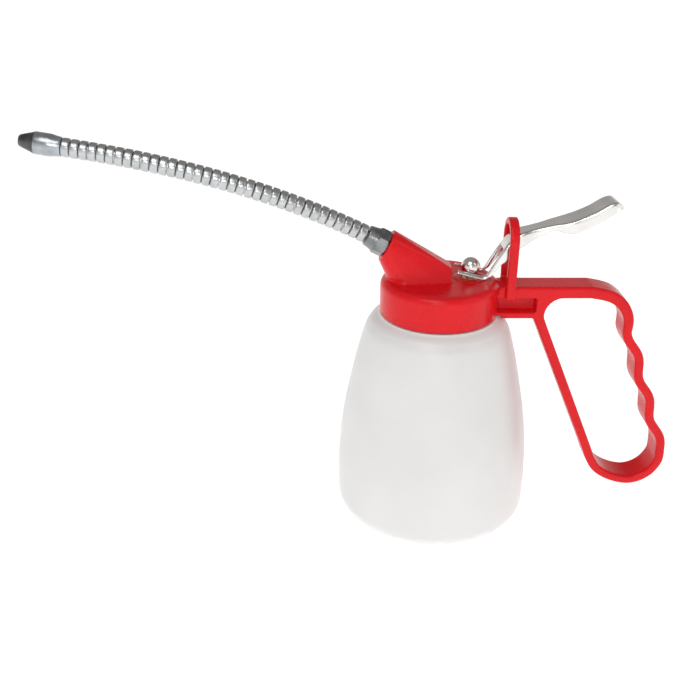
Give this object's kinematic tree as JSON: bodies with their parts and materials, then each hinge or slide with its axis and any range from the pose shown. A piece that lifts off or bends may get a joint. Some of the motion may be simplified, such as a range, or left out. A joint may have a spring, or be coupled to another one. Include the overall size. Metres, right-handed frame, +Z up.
{
  "type": "oil can",
  "caption": "Hand-pump oil can: translucent bell-shaped bottle, red screw-on pump head with a D handle, zinc thumb lever and a flexible ringed metal spout.",
  "frame": {"origin": "centre of the bottle's flat base, on the bottle's axis", "axes": "+Z up the bottle's axis, -X towards the spout, +X towards the handle, +Y completes the right-handed frame"},
  "size_m": [0.2969, 0.092, 0.1868],
  "materials": {
    "red_plastic": "glossy moulded",
    "bottle_plastic": "milky translucent, blow-moulded",
    "zinc_steel": "bright zinc plate",
    "dark_zinc": "dark grey zinc plate",
    "brass": "turned",
    "rubber": "matte",
    "clear_tube": "milky translucent tube"
  },
  "bodies": {
    "bottle": {"bottle": "bottle_plastic"},
    "seal_ring": {"bottle_seal": "rubber"},
    "head": {"head": "red_plastic", "pump_barrel": "clear_tube", "rod_seal": "rubber", "gland_bush": "brass", "foot_valve_seat": "brass", "valve_stop": "brass", "dip_tube": "clear_tube", "strainer": "brass", "spout_seal": "rubber", "spout_nut": "dark_zinc", "lever_pin": "zinc_steel", "return_spring": "zinc_steel"},
    "foot_valve": {"foot_ball": "zinc_steel"},
    "outlet_valve": {"outlet_ball": "zinc_steel"},
    "plunger": {"plunger_rod": "zinc_steel", "plunger_knob": "zinc_steel", "piston": "brass", "piston_seal": "rubber"},
    "piston_valve": {"piston_ball": "zinc_steel"},
    "lever": {"lever": "zinc_steel"},
    "link_01": {"spout_link_01": "zinc_steel"},
    "link_02": {"spout_link_02": "zinc_steel"},
    "link_03": {"spout_link_03": "zinc_steel"},
    "link_04": {"spout_link_04": "zinc_steel"},
    "link_05": {"spout_link_05": "zinc_steel"},
    "link_06": {"spout_link_06": "zinc_steel"},
    "link_07": {"spout_link_07": "zinc_steel"},
    "link_08": {"spout_link_08": "zinc_steel"},
    "link_09": {"spout_link_09": "zinc_steel"},
    "link_10": {"spout_link_10": "zinc_steel"},
    "link_11": {"spout_link_11": "zinc_steel"},
    "link_12": {"spout_link_12": "zinc_steel", "nozzle_tip": "dark_zinc"}
  },
  "joints": [
    {"name": "seal_lift", "type": "slide", "parent": "bottle", "child": "seal_ring", "axis": [0, 0, 1], "range_m": [0, 0.00969]},
    {"name": "cap_screw", "type": "hinge", "parent": "seal_ring", "child": "head", "pos_m": [0, 0, 0.11], "axis": [0, 0, 1], "range_deg": [0, 698]},
    {"name": "lever_hinge", "type": "hinge", "parent": "head", "child": "lever", "pos_m": [0.0314, 0, 0.1363], "axis": [0, 1, 0], "range_deg": [0, 24]},
    {"name": "plunger_slide", "type": "slide", "parent": "head", "child": "plunger", "axis": [0, 0, 1], "range_m": [0, 0.00575], "stiffness_N_per_m": 1000, "springref_m": -0.005, "deforming": ["return_spring"]},
    {"name": "foot_valve_lift", "type": "slide", "parent": "head", "child": "foot_valve", "axis": [0, 0, 1], "range_m": [0, 0.0017]},
    {"name": "piston_valve_lift", "type": "slide", "parent": "plunger", "child": "piston_valve", "axis": [0, 0, 1], "range_m": [0, 0.0005]},
    {"name": "outlet_valve_lift", "type": "slide", "parent": "head", "child": "outlet_valve", "axis": [-0.8829, 0, 0.4695], "range_m": [0, 0.0047]},
    {"name": "spout_bend_01", "type": "hinge", "parent": "head", "child": "link_01", "pos_m": [-0.03383, 0, 0.14111], "axis": [0, 1, 0], "range_deg": [-8, 8]},
    {"name": "spout_swing_02", "type": "hinge", "parent": "link_01", "child": "link_02", "pos_m": [-0.04412, 0, 0.14601], "axis": [0.4018, 0, 0.9157], "range_deg": [-8, 8]},
    {"name": "spout_bend_03", "type": "hinge", "parent": "link_02", "child": "link_03", "pos_m": [-0.05455, 0, 0.1506], "axis": [0, 1, 0], "range_deg": [-8, 8]},
    {"name": "spout_swing_04", "type": "hinge", "parent": "link_03", "child": "link_04", "pos_m": [-0.06513, 0, 0.15485], "axis": [0.3455, 0, 0.9384], "range_deg": [-8, 8]},
    {"name": "spout_bend_05", "type": "hinge", "parent": "link_04", "child": "link_05", "pos_m": [-0.07583, 0, 0.15879], "axis": [0, 1, 0], "range_deg": [-8, 8]},
    {"name": "spout_swing_06", "type": "hinge", "parent": "link_05", "child": "link_06", "pos_m": [-0.08664, 0, 0.16242], "axis": [0.2915, 0, 0.9566], "range_deg": [-8, 8]},
    {"name": "spout_bend_07", "type": "hinge", "parent": "link_06", "child": "link_07", "pos_m": [-0.09754, 0, 0.16574], "axis": [0, 1, 0], "range_deg": [-8, 8]},
    {"name": "spout_swing_08", "type": "hinge", "parent": "link_07", "child": "link_08", "pos_m": [-0.10853, 0, 0.16877], "axis": [0.241, 0, 0.9705], "range_deg": [-8, 8]},
    {"name": "spout_bend_09", "type": "hinge", "parent": "link_08", "child": "link_09", "pos_m": [-0.1196, 0, 0.17152], "axis": [0, 1, 0], "range_deg": [-8, 8]},
    {"name": "spout_swing_10", "type": "hinge", "parent": "link_09", "child": "link_10", "pos_m": [-0.13072, 0, 0.174], "axis": [0.1961, 0, 0.9806], "range_deg": [-8, 8]},
    {"name": "spout_bend_11", "type": "hinge", "parent": "link_10", "child": "link_11", "pos_m": [-0.1419, 0, 0.17624], "axis": [0, 1, 0], "range_deg": [-8, 8]},
    {"name": "spout_swing_12", "type": "hinge", "parent": "link_11", "child": "link_12", "pos_m": [-0.15312, 0, 0.17825], "axis": [0.1633, 0, 0.9866], "range_deg": [-8, 8]}
  ],
  "couplings": [
    {"joint": "cap_screw", "follows": "seal_lift", "rad_per_m": 1256.6},
    {"joint": "lever_hinge", "follows": "plunger_slide", "rad_per_m": 72.727},
    {"joint": "spout_bend_03", "follows": "spout_bend_01", "ratio": 1},
    {"joint": "spout_bend_05", "follows": "spout_bend_01", "ratio": 1},
    {"joint": "spout_bend_07", "follows": "spout_bend_01", "ratio": 1},
    {"joint": "spout_bend_09", "follows": "spout_bend_01", "ratio": 1},
    {"joint": "spout_bend_11", "follows": "spout_bend_01", "ratio": 1},
    {"joint": "spout_swing_04", "follows": "spout_swing_02", "ratio": 1},
    {"joint": "spout_swing_06", "follows": "spout_swing_02", "ratio": 1},
    {"joint": "spout_swing_08", "follows": "spout_swing_02", "ratio": 1},
    {"joint": "spout_swing_10", "follows": "spout_swing_02", "ratio": 1},
    {"joint": "spout_swing_12", "follows": "spout_swing_02", "ratio": 1}
  ]
}
